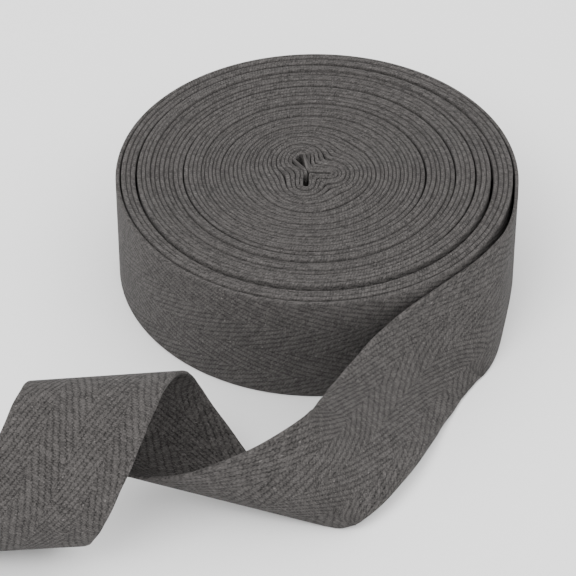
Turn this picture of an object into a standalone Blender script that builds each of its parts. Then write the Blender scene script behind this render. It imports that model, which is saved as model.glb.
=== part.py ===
"""Roll of cotton herringbone twill tape, with its loose end twisted over itself beside it.

Metres, +Z up. The origin is the middle of the roll's base, on the surface that it rests on.
The roll is one solid of its wound form. The loose end is one sheet, bent as a flat tape bends:
about straight fold lines that cross it at a slant, so its length and width stay true.
"""
import math

import bmesh
import bpy
from mathutils import Matrix, Vector

MM = 0.001
TAPE_WIDTH = 39.5 * MM
TAPE_THICKNESS = 1.2 * MM
START_GAP = 0.6 * MM

# The roll: outer size, and the angle (seen from above, from +X towards +Y) where the tape leaves it.
ROLL_RADIUS = 66.3 * MM
LEAVE_ANGLE = math.radians(-1.0)
OUTER_STEP = 2.0 * MM
STEP_FACE = math.radians(0.15)
EDGE_ROUND = 1.0 * MM
CROWN_HEIGHT = 0.7 * MM

# Grooves in the roll's top, between groups of turns that stand a little apart.
GROOVES = [
    # share of the roll's radius, width_mm, depth_mm
    (0.325, 1.6, 0.6),
    (0.462, 1.4, 0.9),
    (0.556, 2.4, 1.0),
    (0.632, 1.8, 1.1),
    (0.705, 1.8, 1.1),
    (0.797, 2.4, 1.2),
    (0.885, 3.0, 2.0),
    (0.966, 1.6, 1.5),
]

# The collapsed middle of the winding: three lobes around a point a little off the roll's axis.
CORE_CENTRE = (-2.8 * MM, 1.3 * MM)
CORE_FADE = 21.0 * MM
CORE_HOLE_HALF_WIDTH = 1.0 * MM
CORE_HOLE_DEPTH = 4.0 * MM
LOBES = [
    # direction_deg, reach_mm, spread_deg
    (104.0, 7.5, 24.0),
    (-16.0, 7.0, 22.0),
    (268.0, 7.0, 22.0),
]

# How the loose end runs, from the roll to its cut end. Each stretch bends by bend_deg in all,
# away from the tape's outer face, about lines at fold_deg to the tape's length (90 is square).
STRETCHES = [
    # name, length_mm, fold_deg, bend_deg
    ("hugs the roll", 15.0, 90.0, 13.0),
    ("parts from it", 20.0, 115.0, -8.0),
    ("tips back", 20.0, 120.0, 55.0),
    ("turns face up", 25.0, 60.0, -35.0),
    ("dished", 25.0, 40.0, -30.0),
    ("runs down", 20.0, 50.0, 20.0),
    ("nears the floor", 20.0, 90.0, 45.0),
    ("first bottom, front", 20.0, 50.0, 45.0),
    ("first bottom, back", 20.0, 35.0, 70.0),
    ("far wall, low", 20.0, 45.0, 45.0),
    ("far wall, high", 20.0, 70.0, 45.0),
    ("over the top, back", 20.0, 50.0, 65.0),
    ("over the top, front", 20.0, 70.0, 50.0),
    ("near wall, high", 20.0, 65.0, 30.0),
    ("near wall, low", 20.0, 75.0, 40.0),
    ("second bottom", 25.0, 55.0, 75.0),
    ("flat to the cut end", 20.0, 85.0, 35.0),
]

ROLL_COLUMNS = 72
LENGTH_STEP = 3.2 * MM
WIDTH_CELLS = 6
TAPE_COLOUR = (0.092, 0.086, 0.082, 1.0)


def clear_scene():
    """Empty the file of its starting objects."""
    for obj in list(bpy.data.objects):
        bpy.data.objects.remove(obj, do_unlink=True)


def cotton(name, colour):
    """Matt cotton cloth."""
    material = bpy.data.materials.new(name)
    material.use_nodes = True
    shader = material.node_tree.nodes["Principled BSDF"]
    shader.inputs["Base Color"].default_value = colour
    shader.inputs["Roughness"].default_value = 0.9
    shader.inputs["Metallic"].default_value = 0.0
    return material


def add_object(name, bm, collection, material):
    """Turn a bmesh into a named object of the collection."""
    mesh = bpy.data.meshes.new(name)
    bm.to_mesh(mesh)
    bm.free()
    mesh.materials.append(material)
    mesh.shade_smooth()
    obj = bpy.data.objects.new(name, mesh)
    collection.objects.link(obj)
    return obj


def turns_back(angle):
    """Share of a turn, from 0 to 1, by which an angle lies back along the tape from where it leaves."""
    return ((angle - LEAVE_ANGLE) / math.tau) % 1.0


def lobe_reach(angle):
    """How far the core's three lobes push a turn out at this angle."""
    reach = 0.0
    for direction_deg, reach_mm, spread_deg in LOBES:
        off = math.remainder(angle - math.radians(direction_deg), math.tau)
        reach += reach_mm * MM * math.exp(-((off / math.radians(spread_deg)) ** 2))
    return reach


def winding_point(radius, angle):
    """Place in plan of the turn of this nominal radius: lobed in the middle, round outside."""
    fade = math.exp(-((radius / CORE_FADE) ** 2))
    out = radius + fade * lobe_reach(angle)
    out -= OUTER_STEP * turns_back(angle) * (radius / ROLL_RADIUS) ** 8
    x = CORE_CENTRE[0] * fade + out * math.cos(angle)
    y = CORE_CENTRE[1] * fade + out * math.sin(angle)
    return x, y


def roll_profile():
    """(radius, height) rows from the middle of the base, out, up and in to the middle of the top."""
    rows = [
        (ROLL_RADIUS - EDGE_ROUND, 0.0),
        (ROLL_RADIUS, EDGE_ROUND),
        (ROLL_RADIUS, TAPE_WIDTH / 2),
        (ROLL_RADIUS, TAPE_WIDTH - EDGE_ROUND),
        (ROLL_RADIUS - EDGE_ROUND, TAPE_WIDTH),
    ]
    inner_shares = [groove[0] for groove in GROOVES[:-1]]
    for share, width_mm, depth_mm in reversed(GROOVES):
        middle = share * ROLL_RADIUS
        half = width_mm * MM / 2
        bottom = TAPE_WIDTH - depth_mm * MM
        rows += [(middle + half, TAPE_WIDTH), (middle + half / 4, bottom)]
        rows += [(middle - half / 4, bottom), (middle - half, TAPE_WIDTH)]
        if inner_shares:
            next_share = inner_shares.pop()
            crown = (share + next_share) / 2 * ROLL_RADIUS
            rows.append((crown, TAPE_WIDTH + CROWN_HEIGHT))
    hole = CORE_HOLE_HALF_WIDTH
    rows.append((8 * hole, TAPE_WIDTH + CROWN_HEIGHT))
    rows.append((2 * hole, TAPE_WIDTH))
    rows.append((hole, TAPE_WIDTH - CORE_HOLE_DEPTH))
    return rows


def build_roll(collection):
    """The wound tape: a sphere's rings moved to the rows of the profile, following the winding."""
    profile = roll_profile()
    rings = len(profile)
    bm = bmesh.new()
    bmesh.ops.create_uvsphere(bm, u_segments=ROLL_COLUMNS, v_segments=rings + 1, radius=1.0)
    last_column = math.tau - STEP_FACE
    for vert in bm.verts:
        down_from_top = math.acos(max(-1.0, min(1.0, vert.co.z)))
        ring = round(down_from_top / math.pi * (rings + 1))
        if ring == 0:
            vert.co = (CORE_CENTRE[0], CORE_CENTRE[1], TAPE_WIDTH - CORE_HOLE_DEPTH)
        elif ring == rings + 1:
            vert.co = (0.0, 0.0, 0.0)
        else:
            radius, height = profile[rings - ring]
            column = round(math.atan2(vert.co.y, vert.co.x) / math.tau * ROLL_COLUMNS) % ROLL_COLUMNS
            angle = LEAVE_ANGLE + last_column * column / (ROLL_COLUMNS - 1)
            x, y = winding_point(radius, angle)
            vert.co = (x, y, height)
    return add_object("wound_roll", bm, collection, cotton("cotton_roll", TAPE_COLOUR))


def at_length(length, column):
    """A stretch's value at a length along the tape, blended between the middles of the stretches."""
    done = 0.0
    before = None
    for stretch in STRETCHES:
        middle = done + stretch[1] * MM / 2
        value = math.radians(stretch[column])
        if column == 3:
            value /= stretch[1] * MM
        if length <= middle:
            if before is None:
                return value
            share = (length - before[0]) / (middle - before[0])
            return before[1] + share * (value - before[1])
        before = (middle, value)
        done += stretch[1] * MM
    return before[1]


def fold_lines():
    """Where each fold line crosses the tape's middle, and its direction scaled to one unit of width."""
    radius = ROLL_RADIUS - TAPE_THICKNESS / 2
    start = LEAVE_ANGLE - START_GAP / ROLL_RADIUS
    middle = Vector((radius * math.cos(start), radius * math.sin(start), TAPE_WIDTH / 2))
    along = Vector((math.sin(start), -math.cos(start), 0.0))
    across = Vector((0.0, 0.0, 1.0))
    total = sum(stretch[1] for stretch in STRETCHES) * MM
    count = round(total / LENGTH_STEP)
    step = total / count
    lines = []
    for index in range(count + 1):
        fold = at_length(index * step, 2)
        line = across + along * (math.cos(fold) / math.sin(fold))
        lines.append((middle.copy(), line))
        bend = at_length(index * step, 3) * step
        if index == 0:
            bend /= 2
        turn = Matrix.Rotation(-bend, 3, line.normalized())
        along = turn @ along
        across = turn @ across
        middle += along * step
    return lines


def build_loose_end(collection):
    """The loose tape: a grid laid on the fold lines, resting on the floor, given its thickness."""
    lines = fold_lines()
    bm = bmesh.new()
    bmesh.ops.create_grid(bm, x_segments=len(lines) - 1, y_segments=WIDTH_CELLS, size=0.5)
    for vert in bm.verts:
        index = round((vert.co.x + 0.5) * (len(lines) - 1))
        middle, line = lines[index]
        place = middle + line * (vert.co.y * TAPE_WIDTH)
        place.z = max(place.z, TAPE_THICKNESS / 2)
        vert.co = place
    obj = add_object("loose_end", bm, collection, cotton("cotton_loose_end", TAPE_COLOUR))
    solidify = obj.modifiers.new("tape thickness", "SOLIDIFY")
    solidify.thickness = TAPE_THICKNESS
    solidify.offset = 0.0
    return obj


clear_scene()
tape = bpy.data.collections.new("roll_of_cotton_twill_tape")
bpy.context.scene.collection.children.link(tape)
build_roll(tape)
build_loose_end(tape)
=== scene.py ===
import math

import bmesh
import bpy
from mathutils import Matrix, Vector


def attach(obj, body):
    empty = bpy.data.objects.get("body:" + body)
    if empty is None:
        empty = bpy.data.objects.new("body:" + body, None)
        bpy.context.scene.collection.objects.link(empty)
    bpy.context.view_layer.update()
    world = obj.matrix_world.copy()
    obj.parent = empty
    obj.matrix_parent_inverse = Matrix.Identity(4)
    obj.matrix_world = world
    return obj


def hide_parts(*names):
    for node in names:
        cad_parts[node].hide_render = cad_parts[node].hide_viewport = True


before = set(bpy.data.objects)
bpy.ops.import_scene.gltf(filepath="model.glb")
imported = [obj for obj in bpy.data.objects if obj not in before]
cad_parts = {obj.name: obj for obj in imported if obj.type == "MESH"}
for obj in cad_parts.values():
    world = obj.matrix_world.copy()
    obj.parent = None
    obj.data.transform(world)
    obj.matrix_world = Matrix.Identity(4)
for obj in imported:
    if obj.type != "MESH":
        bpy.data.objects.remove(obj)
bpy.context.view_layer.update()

# A plain white table top, which both pieces of the tape rest on.
# It is a sheet of matt board, laid under the object and no part of it.
TABLE_HALF_SIZE = 3.0
BOARD_COLOUR = (0.9, 0.9, 0.9, 1.0)
BOARD_ROUGHNESS = 0.8

table_bm = bmesh.new()
bmesh.ops.create_grid(table_bm, x_segments=1, y_segments=1, size=TABLE_HALF_SIZE)
table_mesh = bpy.data.meshes.new("table_top")
table_bm.to_mesh(table_mesh)
table_bm.free()
table_top = bpy.data.objects.new("table_top", table_mesh)
bpy.context.scene.collection.objects.link(table_top)
white_board = bpy.data.materials.new("white_board")
white_board.use_nodes = True
board_shader = white_board.node_tree.nodes["Principled BSDF"]
board_shader.inputs["Base Color"].default_value = BOARD_COLOUR
board_shader.inputs["Roughness"].default_value = BOARD_ROUGHNESS
table_mesh.materials.append(white_board)

# The wound roll: nearly nine metres of herringbone cotton tape, wound on itself without a core.
# The middle has collapsed into three lobes, and groups of turns stand apart further out.
MM = 0.001
TAPE_WIDTH = 39.5 * MM
TAPE_THICKNESS = 1.2 * MM
ROLL_RADIUS = 66.3 * MM
LEAVE_ANGLE = math.radians(-1.0)

# Each face of a turn stands out this share of half the room to the next turn, within two limits.
TURN_FULLNESS = 0.95
FACE_LIMITS = (0.5 * MM, 0.8 * MM)

# The winding runs out in groups of turns, which stand a little apart and have each slipped a little.
FIRST_TURN_RADIUS = 8.6 * MM
LAST_TURN_RADIUS = ROLL_RADIUS - TAPE_THICKNESS / 2
OUTER_STEP = 2.0 * MM
TURN_GROUPS = [
    # from_radius_mm, pitch_mm, gap_before_mm, crown_mm, shift_mm, shift_towards_deg
    (8.6, 1.16, 0.0, 0.3, 0.0, 0.0),
    (14.4, 1.16, 0.2, 0.3, 0.15, 200.0),
    (21.5, 1.18, 0.3, 0.5, 0.25, 290.0),
    (30.4, 1.24, 0.3, 0.4, 0.25, 120.0),
    (36.7, 1.4, 0.45, 0.6, 0.3, 20.0),
    (41.9, 1.5, 0.35, 0.8, 0.3, 250.0),
    (46.7, 1.45, 0.45, 0.7, 0.3, 100.0),
    (52.8, 1.415, 0.5, 1.2, 0.15, 60.0),
    (58.7, 1.56, 0.9, 0.3, 0.2, 330.0),
]
GROUP_EASE = 0.25
GROUP_CROWN_POWER = 0.6

# Single turns stand up unevenly, and the last ones come back to their true place.
TURN_UNEVENNESS = 0.2 * MM
UNEVEN_RHYTHM = 0.618
TRUE_FOR_TURNS = 1.5

# The inner turns lie on the tape's folded start: each steps out over it late in its round.
STEP_OUT_FROM = 0.85
EVEN_FROM_TURN = 3.5
EVEN_BY_TURN = 8.5

# The roll is a little flat at the back and full in front and at the left, by shares of its radius.
BACK_STRETCH = -0.015
FRONT_STRETCH = 0.007
LEFT_STRETCH = 0.005

# The collapsed middle: closed slits and the hollows in them, which the first turn lies around.
# Their places are counted from the core's centre, and the winding is round by the outer fade radius.
CORE_CENTRE = Vector((-2.6 * MM, -0.3 * MM))
CORE_REACH = 8.0 * MM
CORE_FADE = (11.0 * MM, 30.0 * MM)
SEARCH_HALVINGS = 20
SLIT_ROUNDING = 0.25 * MM
ROUNDING_GROWTH = 0.07
CORE_HOLLOWS = [
    # from_x_mm, from_y_mm, to_x_mm, to_y_mm, half_width_mm
    (0.0, 0.0, -1.7, 3.6, 0.0),
    (-2.5, 4.7, -2.3, 8.6, 0.75),
    (-3.4, 5.6, -3.3, 6.8, 0.95),
    (0.0, 0.0, 2.2, -0.2, 0.0),
    (2.2, -0.2, 6.9, -0.6, 0.42),
    (0.0, 0.0, -0.2, -3.4, 0.1),
    (-0.2, -3.4, -0.5, -6.4, 0.28),
]

# Lengths of tape between two sections, finer in the core, and the shares of a turn that bound them.
WINDING_STEP = 1.6 * MM
CORE_STEP = 0.6 * MM
CORE_TURNS = 8.0
NUDGE_TURNS = 0.0008
LONGEST_STEP_TURNS = 0.03
END_OVERRUN_TURNS = 1e-9

# One section across a wound turn: place through the thickness, height, and place on the cloth.
TURN_SECTION = [
    # through (1 is the outer face), from_edge, height_mm, cloth_mm
    (1.0, "bottom", 0.5, 0.5),
    (1.0, "top", -0.4, -0.5),
    (0.82, "top", -0.1, -0.1),
    (0.3, "top", 0.0, 0.35),
    (-0.3, "top", 0.0, 0.7),
    (-0.82, "top", -0.1, 1.1),
    (-1.0, "top", -0.4, 1.5),
    (-1.0, "top", -0.4, -0.5),
    (-1.0, "bottom", 0.5, 0.5),
    (-1.0, "bottom", 0.5, -1.5),
    (-0.5, "bottom", 0.0, -1.0),
    (0.5, "bottom", 0.0, -0.4),
    (1.0, "bottom", 0.5, 0.1),
]


def eased(share):
    """0 before, 1 after, and a smooth climb between."""
    share = max(0.0, min(1.0, share))
    return share * share * (3 - 2 * share)


def group_turns():
    """The groups with the turn that each one starts at, and the number of turns in all."""
    groups = []
    starts = 0.0
    for index, (radius_mm, pitch_mm, gap_mm, *rest) in enumerate(TURN_GROUPS):
        groups.append((starts, radius_mm, pitch_mm, gap_mm, *rest))
        if index + 1 < len(TURN_GROUPS):
            ends_mm = TURN_GROUPS[index + 1][0] - TURN_GROUPS[index + 1][2]
        else:
            ends_mm = (LAST_TURN_RADIUS - OUTER_STEP) / MM
        starts += (ends_mm - radius_mm) / pitch_mm
    return groups, starts + 1.0


GROUPS, TURNS = group_turns()
LAST_PITCH = TURN_GROUPS[-1][1] * MM


def turn_radius(turn):
    """Nominal radius of the winding after this many turns from the middle."""
    radius = FIRST_TURN_RADIUS
    for index, (starts, _, pitch_mm, gap_mm, *_) in enumerate(GROUPS):
        ends = GROUPS[index + 1][0] if index + 1 < len(GROUPS) else TURNS
        radius += pitch_mm * MM * max(0.0, min(turn, ends) - starts)
        radius += gap_mm * MM * eased((turn - starts) / GROUP_EASE)
    whole = math.floor(turn)
    stepped = whole + eased((turn - whole - STEP_OUT_FROM) / (1 - STEP_OUT_FROM))
    uneven = 1 - eased((turn - EVEN_FROM_TURN) / (EVEN_BY_TURN - EVEN_FROM_TURN))
    radius += TURN_GROUPS[0][1] * MM * (stepped - turn) * uneven
    return radius + (OUTER_STEP - LAST_PITCH) * eased((turn - TURNS + 1.0) / GROUP_EASE)


def turn_set(turn):
    """How this part of the winding has slipped: sideways in plan, and up from the table."""
    shift = Vector((0.0, 0.0))
    before = Vector((0.0, 0.0))
    lift = TURN_UNEVENNESS * (1 + math.sin(math.tau * UNEVEN_RHYTHM * turn))
    for index, (starts, _, _, _, crown_mm, shift_mm, towards_deg) in enumerate(GROUPS):
        towards = math.radians(towards_deg)
        group_shift = Vector((math.cos(towards), math.sin(towards))) * shift_mm * MM
        shift += (group_shift - before) * eased((turn - starts) / GROUP_EASE + 0.5)
        before = group_shift
        ends = GROUPS[index + 1][0] if index + 1 < len(GROUPS) else TURNS
        share = max(0.0, min(1.0, (turn - starts) / (ends - starts)))
        lift += crown_mm * MM * (4 * share * (1 - share)) ** GROUP_CROWN_POWER
    return shift * eased((TURNS - turn) / TRUE_FOR_TURNS), lift * eased(TURNS - turn)


def core_distance(x, y, rounding):
    """Distance from the hollows that the core closes on, rounded where they meet."""
    total = 0.0
    for from_x, from_y, to_x, to_y, half_width in CORE_HOLLOWS:
        run_x = to_x - from_x
        run_y = to_y - from_y
        off_x = x / MM - from_x
        off_y = y / MM - from_y
        along = (off_x * run_x + off_y * run_y) / (run_x * run_x + run_y * run_y)
        along = max(0.0, min(1.0, along))
        distance = math.hypot(off_x - along * run_x, off_y - along * run_y) - half_width
        total += math.exp(-distance * MM / rounding)
    return -rounding * math.log(total)


def winding_place(turn, angle):
    """Place in plan of the middle of the tape: lobed in the core, round outside."""
    radius = turn_radius(turn)
    towards = Vector((math.cos(angle), math.sin(angle)))
    fade_from, fade_to = CORE_FADE
    roundness = max(0.0, min(1.0, (radius - fade_from) / (fade_to - fade_from)))
    lobed = 0.0
    if roundness < 1.0:
        rounding = SLIT_ROUNDING + ROUNDING_GROWTH * (radius - FIRST_TURN_RADIUS)
        near = 0.0
        far = radius + CORE_REACH
        for _ in range(SEARCH_HALVINGS):
            lobed = (near + far) / 2
            place = towards * lobed
            if core_distance(place.x, place.y, rounding) < radius - CORE_REACH:
                near = lobed
            else:
                far = lobed
    out = lobed * (1 - roundness) + radius * roundness
    centred = (LAST_TURN_RADIUS - radius) / (LAST_TURN_RADIUS - FIRST_TURN_RADIUS)
    place = CORE_CENTRE * centred + towards * out + turn_set(turn)[0]
    outer = (radius / ROLL_RADIUS) ** 2
    place.y *= 1 + outer * (BACK_STRETCH if place.y > 0 else FRONT_STRETCH)
    if place.x < 0:
        place.x *= 1 + outer * LEFT_STRETCH
    return place


def turn_angle(turn):
    """The tape winds clockwise, seen from above, from the middle to where it leaves."""
    return LEAVE_ANGLE + math.tau * (TURNS - turn)


def winding_stations():
    """Turn count, length from the start, place and outward direction, a step of tape apart."""
    stations = []
    turn = 0.0
    length = 0.0
    while True:
        here = winding_place(turn, turn_angle(turn))
        nudged = turn + NUDGE_TURNS
        ahead = winding_place(nudged, turn_angle(nudged)) - here
        outward = Vector((-ahead.y, ahead.x)).normalized()
        stations.append((turn, length, here, outward))
        if turn >= TURNS:
            return stations
        tape_per_turn = ahead.length / NUDGE_TURNS
        step = CORE_STEP if turn < CORE_TURNS else WINDING_STEP
        advance = min(LONGEST_STEP_TURNS, max(NUDGE_TURNS, step / tape_per_turn))
        advance = min(advance, TURNS - turn) + END_OVERRUN_TURNS
        turn += advance
        length += advance * tape_per_turn


def turn_faces(turn, place, outward):
    """How far its inner and outer faces stand off the middle of the tape.

    The springy cloth fills most of the room to the turns beside it.
    Where the tape leaves the roll, it is back to its own thickness.
    """
    least, most = FACE_LIMITS
    faces = []
    for way in (-1, 1):
        face = TAPE_THICKNESS / 2
        if 0 <= turn + way <= TURNS:
            beside = winding_place(turn + way, turn_angle(turn))
            room = (beside - place).dot(outward) * way
            full = min(most, max(least, TURN_FULLNESS * room / 2))
            face += (full - face) * eased((TURNS - turn) / GROUP_EASE)
        faces.append(face)
    return faces


def turn_ring(turn, place, outward):
    """The points of one section across the wound tape."""
    lift = turn_set(turn)[1]
    inner, outer = turn_faces(turn, place, outward)
    ring = []
    for through, edge, height_mm, _ in TURN_SECTION:
        across = place + outward * (through * (outer if through > 0 else inner))
        base = lift + (TAPE_WIDTH if edge == "top" else 0.0)
        ring.append(Vector((across.x, across.y, base + height_mm * MM)))
    return ring


# The cloth runs on by this much where a section closes, and points nearer than this become one.
CLOSING_CLOTH_MM = 0.4
MERGE_DISTANCE = 0.005 * MM


def woven_tube(name, rings, lengths, across, material):
    """Tape as one closed mesh: a grid of sections joined round and capped, with its cloth's UV map.

    u runs along the tape and v across it, both in millimetres of cloth.
    """
    columns = len(rings)
    rows = len(across)
    bm = bmesh.new()
    bmesh.ops.create_grid(bm, x_segments=columns - 1, y_segments=rows, size=0.5)
    cloth_uv = bm.loops.layers.uv.new("cloth")
    for vert in bm.verts:
        column = round((vert.co.x + 0.5) * (columns - 1))
        row = round((vert.co.y + 0.5) * rows)
        vert.index = column * (rows + 1) + row
    for face in bm.faces:
        for loop in face.loops:
            column, row = divmod(loop.vert.index, rows + 1)
            cloth = across[row] if row < rows else across[0] - CLOSING_CLOTH_MM
            loop[cloth_uv].uv = (lengths[column] / MM, cloth)
    for vert in bm.verts:
        column, row = divmod(vert.index, rows + 1)
        vert.co = rings[column][row % rows]
    bmesh.ops.remove_doubles(bm, verts=bm.verts, dist=MERGE_DISTANCE)
    ends = [edge for edge in bm.edges if edge.is_boundary]
    caps = bmesh.ops.holes_fill(bm, edges=ends, sides=0)["faces"]
    for face in caps:
        for loop in face.loops:
            beside = loop.link_loop_radial_next.link_loop_next
            loop[cloth_uv].uv = beside[cloth_uv].uv
    bm.normal_update()
    bmesh.ops.recalc_face_normals(bm, faces=bm.faces)
    mesh = bpy.data.meshes.new(name)
    bm.to_mesh(mesh)
    bm.free()
    mesh.materials.append(material)
    mesh.shade_smooth()
    obj = bpy.data.objects.new(name, mesh)
    bpy.context.scene.collection.objects.link(obj)
    return obj


# The herringbone: four bands across the tape, whose twill lines lean to and fro.
BANDS = 4
BAND_MM = 9.9
FIRST_BAND_MM = -1.6
LINE_ACROSS_MM = 1.8
LINE_ALONG_MM = 5.4
PICK_MM = 1.0
PICK_SHIFT = 0.4
PICK_SLANT = 0.5

# Nothing in the weave is quite straight: its lines wander by up to half of this.
WANDER_MM = 1.0
WANDER_SIZE_MM = 5.0
WANDER_DETAIL = 3.0
WANDER_ACROSS = 0.7

# How deep the furrows between lines lie, and how much the crossing yarns and single stitches add; the
# deeper places also get more painted shade.
FURROW_DEPTH = 0.4
CROSSING_IN_FURROW = 0.45
CROSSING_DEPTH = 0.22
STITCH_DEPTH = 0.55
FLOAT_TOP = 1.12

# The selvedge: yarns that turn back round the edge, seen as short strokes of uneven height, with
# painted shade on the lower ones.
SELVEDGE_MM = 1.3
SELVEDGE_SHARPNESS = 3.0
STRAND_MM = 0.8
STROKE_SLANT = 0.45
STROKE_HEIGHT = 0.45
STROKE_SPECKLE = 0.9

# Uneven dye and fluff: fine fibres, a hard grain and broad clouds, with a few pale specks of lint.
FIBRE_SIZE_MM = 0.45
FIBRE_DETAIL = 2.0
FIBRE_SHARE = 1.6
FIBRE_HEIGHT = 0.4
CLOUD_SIZE_MM = 14.0
CLOUD_DETAIL = 3.0
CLOUD_SHARE = 0.3
GRAIN_MM = 0.35
GRAIN_SHARE = 0.5
LINT_SIZE_MM = 0.9
LINT_FROM = 0.77
LINT_SHARPNESS = 20.0

# Colour goes from a painted shade in the low furrows to yarn with the height of the yarn, and on past
# it for the palest fibres.
YARN_COLOUR = (0.0657, 0.0613, 0.0593, 1.0)
FURROW_SHADE_COLOUR = (0.0125, 0.0117, 0.0113, 1.0)
HEIGHT_POWER = 0.7
HEIGHT_SHARE = 0.9
UNEVEN_MIDDLE = 1.12
PALEST_SHARE = 2.0
GAP_ROUGHNESS = 0.95
YARN_SMOOTHER = -0.08

# How far the weave stands out, and how faint the cotton's nap and shine are.
WEAVE_RELIEF = 0.3 * MM
NAP = 0.02
NAP_ROUGHNESS = 0.6
SHINE = 0.12


def maths(tree, operation, *values):
    """One Math node, fed by sockets or numbers."""
    node = tree.nodes.new("ShaderNodeMath")
    node.operation = operation
    for socket, value in zip(node.inputs, values):
        if isinstance(value, bpy.types.NodeSocket):
            tree.links.new(value, socket)
        else:
            socket.default_value = value
    return node.outputs[0]


def hump(tree, value):
    """0 at each whole number and 1 half way between, rounded like a yarn."""
    part = maths(tree, "FRACT", value)
    off = maths(tree, "MULTIPLY_ADD", part, 2.0, -1.0)
    return maths(tree, "SUBTRACT", 1.0, maths(tree, "MULTIPLY", off, off))


def mottle(tree, place, size_mm, detail):
    """Soft noise of this size on the cloth, around 0.5."""
    noise = tree.nodes.new("ShaderNodeTexNoise")
    noise.inputs["Scale"].default_value = 1 / size_mm
    noise.inputs["Detail"].default_value = detail
    tree.links.new(place, noise.inputs["Vector"])
    return noise.outputs["Fac"]


def chance(tree, first, second):
    """One even random value for each pair of whole numbers."""
    pair = tree.nodes.new("ShaderNodeCombineXYZ")
    tree.links.new(maths(tree, "FLOOR", first), pair.inputs["X"])
    tree.links.new(maths(tree, "FLOOR", second), pair.inputs["Y"])
    noise = tree.nodes.new("ShaderNodeTexWhiteNoise")
    noise.noise_dimensions = "2D"
    tree.links.new(pair.outputs["Vector"], noise.inputs["Vector"])
    return noise.outputs["Value"]


def within(tree, value, low, high):
    """A value kept between two numbers."""
    return maths(tree, "MINIMUM", maths(tree, "MAXIMUM", value, low), high)


def between(tree, share, low, high):
    """A colour between two, by a share."""
    node = tree.nodes.new("ShaderNodeMix")
    node.data_type = "RGBA"
    node.clamp_factor = False
    tree.links.new(share, node.inputs["Factor"])
    tree.links.new(low, node.inputs["A"])
    tree.links.new(high, node.inputs["B"])
    return node.outputs["Result"]


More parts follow.
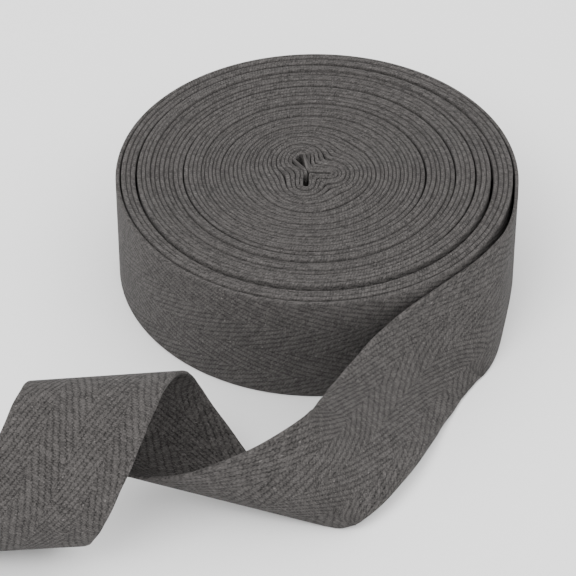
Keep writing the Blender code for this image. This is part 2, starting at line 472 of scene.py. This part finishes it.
def twill_group():
    """Herringbone twill with a speckled selvedge and painted shade in its low places, from the place on
    the cloth in millimetres.
    """
    group = bpy.data.node_groups.new("herringbone_twill", "ShaderNodeTree")
    # The second colour put in is the painted shade of the weave's low furrows.
    for name, kind in (("Cloth", "Vector"), ("Yarn", "Color"), ("Furrow Shade", "Color")):
        group.interface.new_socket(name, in_out="INPUT", socket_type="NodeSocket" + kind)
    for name, kind in (("Colour", "Color"), ("Height", "Float"), ("Roughness", "Float")):
        group.interface.new_socket(name, in_out="OUTPUT", socket_type="NodeSocket" + kind)
    given = group.nodes.new("NodeGroupInput")
    result = group.nodes.new("NodeGroupOutput")
    split = group.nodes.new("ShaderNodeSeparateXYZ")
    cloth = given.outputs["Cloth"]
    group.links.new(cloth, split.inputs["Vector"])
    true_across = split.outputs["Y"]
    half_mm = TAPE_WIDTH / MM / 2

    wander = mottle(group, cloth, WANDER_SIZE_MM, WANDER_DETAIL)
    wander = maths(group, "MULTIPLY_ADD", wander, WANDER_MM, -WANDER_MM / 2)
    along = maths(group, "ADD", split.outputs["X"], wander)
    across = maths(group, "MULTIPLY_ADD", wander, WANDER_ACROSS, true_across)

    band = maths(group, "SUBTRACT", true_across, FIRST_BAND_MM)
    band = maths(group, "FLOOR", maths(group, "DIVIDE", band, BAND_MM))
    band = maths(group, "MINIMUM", band, BANDS - 1)
    lean = maths(group, "MULTIPLY_ADD", maths(group, "FLOORED_MODULO", band, 2.0), 2.0, -1.0)
    slope = maths(group, "MULTIPLY", lean, maths(group, "DIVIDE", along, LINE_ALONG_MM))
    line_place = maths(group, "SUBTRACT", maths(group, "DIVIDE", across, LINE_ACROSS_MM), slope)
    pick_place = maths(group, "MULTIPLY_ADD", across, PICK_SLANT, along)
    pick_place = maths(group, "DIVIDE", pick_place, PICK_MM)
    line_number = maths(group, "FLOOR", line_place)
    pick_place = maths(group, "MULTIPLY_ADD", line_number, PICK_SHIFT, pick_place)
    furrow = maths(group, "SUBTRACT", 1.0, hump(group, line_place))
    crossing = maths(group, "SUBTRACT", 1.0, hump(group, pick_place))
    stitch = chance(group, line_place, pick_place)
    depth = maths(group, "MULTIPLY_ADD", crossing, CROSSING_IN_FURROW, FURROW_DEPTH)
    depth = maths(group, "MULTIPLY", furrow, depth)
    depth = maths(group, "MULTIPLY_ADD", crossing, CROSSING_DEPTH, depth)
    depth = maths(group, "MULTIPLY_ADD", stitch, STITCH_DEPTH, depth)
    float_height = within(group, maths(group, "SUBTRACT", FLOAT_TOP, depth), 0.0, 1.0)

    stroke = maths(group, "DIVIDE", along, PICK_MM)
    stroke = maths(group, "MULTIPLY_ADD", true_across, STROKE_SLANT, stroke)
    strand = maths(group, "DIVIDE", across, STRAND_MM)
    cord_height = maths(group, "MULTIPLY", hump(group, stroke), STROKE_HEIGHT)
    speckle = chance(group, stroke, strand)
    cord_height = maths(group, "MULTIPLY_ADD", speckle, STROKE_SPECKLE, cord_height)
    from_middle = maths(group, "ABSOLUTE", maths(group, "SUBTRACT", true_across, half_mm))
    selvedge = maths(group, "SUBTRACT", from_middle, half_mm - SELVEDGE_MM)
    selvedge = within(group, maths(group, "MULTIPLY", selvedge, SELVEDGE_SHARPNESS), 0.0, 1.0)
    rise = maths(group, "MULTIPLY", selvedge, maths(group, "SUBTRACT", cord_height, float_height))
    height = maths(group, "ADD", float_height, rise)

    fibre = mottle(group, cloth, FIBRE_SIZE_MM, FIBRE_DETAIL)
    cloud = mottle(group, cloth, CLOUD_SIZE_MM, CLOUD_DETAIL)
    grain_along = maths(group, "DIVIDE", along, GRAIN_MM)
    grain_across = maths(group, "DIVIDE", across, GRAIN_MM)
    grain = chance(group, grain_along, grain_across)
    uneven = maths(group, "MULTIPLY", cloud, CLOUD_SHARE)
    uneven = maths(group, "MULTIPLY_ADD", fibre, FIBRE_SHARE, uneven)
    uneven = maths(group, "MULTIPLY_ADD", grain, GRAIN_SHARE, uneven)
    lint = maths(group, "SUBTRACT", mottle(group, cloth, LINT_SIZE_MM, 0.0), LINT_FROM)
    lint = within(group, maths(group, "MULTIPLY", lint, LINT_SHARPNESS), 0.0, 1.0)
    # Painted shade: the lower the weave here, the nearer its colour is to the dark furrow colour.
    share = maths(group, "MULTIPLY", maths(group, "POWER", height, HEIGHT_POWER), HEIGHT_SHARE)
    share = maths(group, "ADD", share, maths(group, "SUBTRACT", uneven, UNEVEN_MIDDLE))
    share = within(group, maths(group, "ADD", share, lint), 0.0, PALEST_SHARE)
    colour = between(group, share, given.outputs["Furrow Shade"], given.outputs["Yarn"])
    relief = maths(group, "MULTIPLY_ADD", fibre, FIBRE_HEIGHT, height)
    roughness = maths(group, "MULTIPLY_ADD", height, YARN_SMOOTHER, GAP_ROUGHNESS)
    group.links.new(colour, result.inputs["Colour"])
    group.links.new(relief, result.inputs["Height"])
    group.links.new(roughness, result.inputs["Roughness"])
    return group


HERRINGBONE = twill_group()


def tape_material(name, yarn, furrow_shade):
    """Matt cotton: the herringbone's colour with its painted shade, relief and roughness, with a faint
    nap.
    """
    material = bpy.data.materials.new(name)
    material.use_nodes = True
    tree = material.node_tree
    shader = tree.nodes["Principled BSDF"]
    shader.inputs["Sheen Weight"].default_value = NAP
    shader.inputs["Sheen Roughness"].default_value = NAP_ROUGHNESS
    shader.inputs["Specular IOR Level"].default_value = SHINE
    cloth = tree.nodes.new("ShaderNodeUVMap")
    cloth.uv_map = "cloth"
    weave = tree.nodes.new("ShaderNodeGroup")
    weave.node_tree = HERRINGBONE
    weave.inputs["Yarn"].default_value = yarn
    # The dark colour is painted shade for the weave's low places.
    weave.inputs["Furrow Shade"].default_value = furrow_shade
    relief = tree.nodes.new("ShaderNodeBump")
    relief.inputs["Strength"].default_value = 1.0
    relief.inputs["Distance"].default_value = WEAVE_RELIEF
    tree.links.new(cloth.outputs["UV"], weave.inputs["Cloth"])
    tree.links.new(weave.outputs["Height"], relief.inputs["Height"])
    tree.links.new(relief.outputs["Normal"], shader.inputs["Normal"])
    tree.links.new(weave.outputs["Colour"], shader.inputs["Base Color"])
    tree.links.new(weave.outputs["Roughness"], shader.inputs["Roughness"])
    return material


stations = winding_stations()
wound_length = stations[-1][1]
turn_cloth = [
    place if edge == "bottom" else TAPE_WIDTH / MM + place for _, edge, _, place in TURN_SECTION
]
wound_tape = woven_tube(
    "wound_tape",
    [turn_ring(turn, place, outward) for turn, _, place, outward in stations],
    [length for _, length, _, _ in stations],
    turn_cloth,
    tape_material("wound_cotton", YARN_COLOUR, FURROW_SHADE_COLOUR),
)
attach(wound_tape, "root")
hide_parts("wound_roll")

# The loose end: the last 35 cm of the same tape, twisted over itself on the table before the roll.
# It bends as flat tape does, about straight lines, and ends in a plain square cut.
# The rows are the CAD sheet's: fits to the photograph's outline, rounded, and some changed by trial.
STRETCHES = [
    # name, length_mm, fold_deg, bend_deg
    ("hugs the roll", 15.0, 90.0, 13.0),
    ("parts from it", 20.0, 115.0, -8.0),
    ("tips back", 20.0, 120.0, 55.0),
    ("turns face up", 25.0, 60.0, -35.0),
    ("dished", 25.0, 40.0, -30.0),
    ("runs down", 20.0, 50.0, 20.0),
    ("nears the floor", 20.0, 90.0, 45.0),
    ("first bottom, front", 20.0, 50.0, 45.0),
    ("first bottom, back", 20.0, 35.0, 70.0),
    ("far wall, low", 20.0, 45.0, 45.0),
    ("far wall, high", 20.0, 70.0, 45.0),
    ("over the top, back", 20.0, 50.0, 65.0),
    ("over the top, front", 20.0, 70.0, 50.0),
    ("near wall, high", 20.0, 65.0, 30.0),
    ("near wall, low", 20.0, 75.0, 40.0),
    ("second bottom", 25.0, 55.0, 75.0),
    ("flat to the cut end", 20.0, 85.0, 35.0),
]
LENGTH_COLUMN = 1
FOLD_COLUMN = 2
BEND_COLUMN = 3
loose_length = sum(stretch[LENGTH_COLUMN] for stretch in STRETCHES) * MM
FOLD_STEP = 3.2 * MM
START_GAP = 0.6 * MM
FINE_STEPS = 3
CROSS_CELLS = 20
EDGE_WAVE = 0.07 * MM
WAVE_SPACINGS = (2.9 * MM, 1.7 * MM)
EDGE_INSET_MM = 0.5
ROUND_EDGE = [
    # through (1 is the outer face), in_from_edge_mm, cloth_past_edge_mm
    (0.8, 0.15, -0.1),
    (0.0, 0.0, 0.5),
    (-0.8, 0.15, 1.1),
    (-1.0, EDGE_INSET_MM, 1.5),
]

# The slack tape bellies out where it leaves the roll, and again where it comes down to the table.
BELLIES = [
    # middle_mm, half_length_mm, out_mm
    (27.0, 25.0, 0.9),
    (86.0, 28.0, 1.2),
]


def at_length(length, column):
    """A stretch's value at a length along the tape, blended between the middles of the stretches."""
    done = 0.0
    before = None
    for stretch in STRETCHES:
        stretch_length = stretch[LENGTH_COLUMN] * MM
        middle = done + stretch_length / 2
        value = math.radians(stretch[column])
        if column == BEND_COLUMN:
            value /= stretch_length
        if length <= middle:
            if before is None:
                return value
            share = (length - before[0]) / (middle - before[0])
            return before[1] + share * (value - before[1])
        before = (middle, value)
        done += stretch_length
    return before[1]


def fold_lines(step):
    """Length, middle point, fold line for one unit of width, and outer face's normal, down the tape."""
    start = LEAVE_ANGLE - START_GAP / ROLL_RADIUS
    radial = Vector((math.cos(start), math.sin(start), 0.0))
    middle = radial * (ROLL_RADIUS - TAPE_THICKNESS / 2) + Vector((0.0, 0.0, TAPE_WIDTH / 2))
    along = Vector((math.sin(start), -math.cos(start), 0.0))
    across = Vector((0.0, 0.0, 1.0))
    count = round(loose_length / step)
    step = loose_length / count
    lines = [(-START_GAP, middle - along * START_GAP, across.copy(), radial.copy())]
    for index in range(count + 1):
        fold = at_length(index * step, FOLD_COLUMN)
        line = across + along * (math.cos(fold) / math.sin(fold))
        lines.append((index * step, middle.copy(), line, across.cross(along)))
        bend = at_length(index * step, BEND_COLUMN) * step
        if index == 0:
            bend /= 2
        turn = Matrix.Rotation(-bend, 3, line.normalized())
        along = turn @ along
        across = turn @ across
        middle += along * step
    return lines


def belly(length):
    """How far the slack tape stands out here from its folded shape."""
    out = 0.0
    for middle_mm, half_mm, out_mm in BELLIES:
        out += out_mm * MM * eased(1 - abs(length / MM - middle_mm) / half_mm)
    return out


def loose_section():
    """Through, across and cloth places of the points round one section of the loose tape."""
    half = TAPE_WIDTH / 2
    cells = [half * (2 * cell / CROSS_CELLS - 1) for cell in range(CROSS_CELLS + 1)]
    cells[0] += EDGE_INSET_MM * MM
    cells[-1] -= EDGE_INSET_MM * MM
    outer = [(1.0, place, place + half) for place in cells]
    inner = [(-1.0, place, place + half) for place in reversed(cells)]
    top = []
    bottom = []
    for through, inset_mm, past_mm in ROUND_EDGE:
        top.append((through, half - inset_mm * MM, TAPE_WIDTH + past_mm * MM))
        bottom.insert(0, (through, inset_mm * MM - half, -past_mm * MM))
    return outer + top + inner + bottom


loose_rows = loose_section()
loose_rings = []
loose_lengths = []
for length, middle, line, normal in fold_lines(FOLD_STEP / FINE_STEPS):
    ring = []
    wave = EDGE_WAVE * sum(math.sin(length / spacing) for spacing in WAVE_SPACINGS)
    fullness = 1 + wave / (TAPE_WIDTH / 2)
    bulge = Vector((normal.x, normal.y, 0.0)) * belly(length)
    for through, across, _ in loose_rows:
        surface = middle + bulge + line * across * fullness
        surface.z = max(surface.z, TAPE_THICKNESS / 2)
        place = surface + normal * (through * TAPE_THICKNESS / 2)
        place.z = max(place.z, 0.0)
        ring.append(place)
    loose_rings.append(ring)
    loose_lengths.append(wound_length + length)

loose_tape = woven_tube(
    "loose_tape",
    loose_rings,
    loose_lengths,
    [cloth / MM for _, _, cloth in loose_rows],
    tape_material("loose_cotton", YARN_COLOUR, FURROW_SHADE_COLOUR),
)
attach(loose_tape, "root")
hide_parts("loose_end")

# Light and camera: an even white room with a large soft lamp at the left, and a weak one at the right,
# as in a product picture. The camera looks down at the roll from the front, over the loose end.
ROOM_COLOUR = (1.0, 1.0, 1.0, 1.0)
ROOM_LIGHT = 1.9
LAMPS = [
    # name, place_m, size_m, watts
    ("key_soft_box", (-0.7, -0.9, 1.3), 0.9, 15.0),
    ("fill_soft_box", (0.9, -0.3, 1.0), 1.0, 2.0),
]
CAMERA_PLACE = (-9.26 * MM, -767.0 * MM, 658.5 * MM)
CAMERA_DOWN = math.radians(41.11)
CAMERA_LENS = 187.8
SENSOR_WIDTH = 36.0

world = bpy.data.worlds.new("white_room")
world.use_nodes = True
room = world.node_tree.nodes["Background"]
room.inputs["Color"].default_value = ROOM_COLOUR
room.inputs["Strength"].default_value = ROOM_LIGHT
bpy.context.scene.world = world


def soft_lamp(name, place, size, watts):
    """A square soft box, turned to the roll."""
    light = bpy.data.lights.new(name, "AREA")
    light.size = size
    light.energy = watts
    lamp = bpy.data.objects.new(name, light)
    lamp.location = place
    lamp.rotation_euler = (-Vector(place)).to_track_quat("-Z", "Y").to_euler()
    bpy.context.scene.collection.objects.link(lamp)


for lamp_row in LAMPS:
    soft_lamp(*lamp_row)

camera_data = bpy.data.cameras.new("photo_camera")
camera_data.lens = CAMERA_LENS
camera_data.sensor_width = SENSOR_WIDTH
photo_camera = bpy.data.objects.new("photo_camera", camera_data)
photo_camera.location = CAMERA_PLACE
photo_camera.rotation_euler = (math.pi / 2 - CAMERA_DOWN, 0.0, 0.0)
bpy.context.scene.collection.objects.link(photo_camera)
bpy.context.scene.camera = photo_camera

bpy.context.view_layer.update()
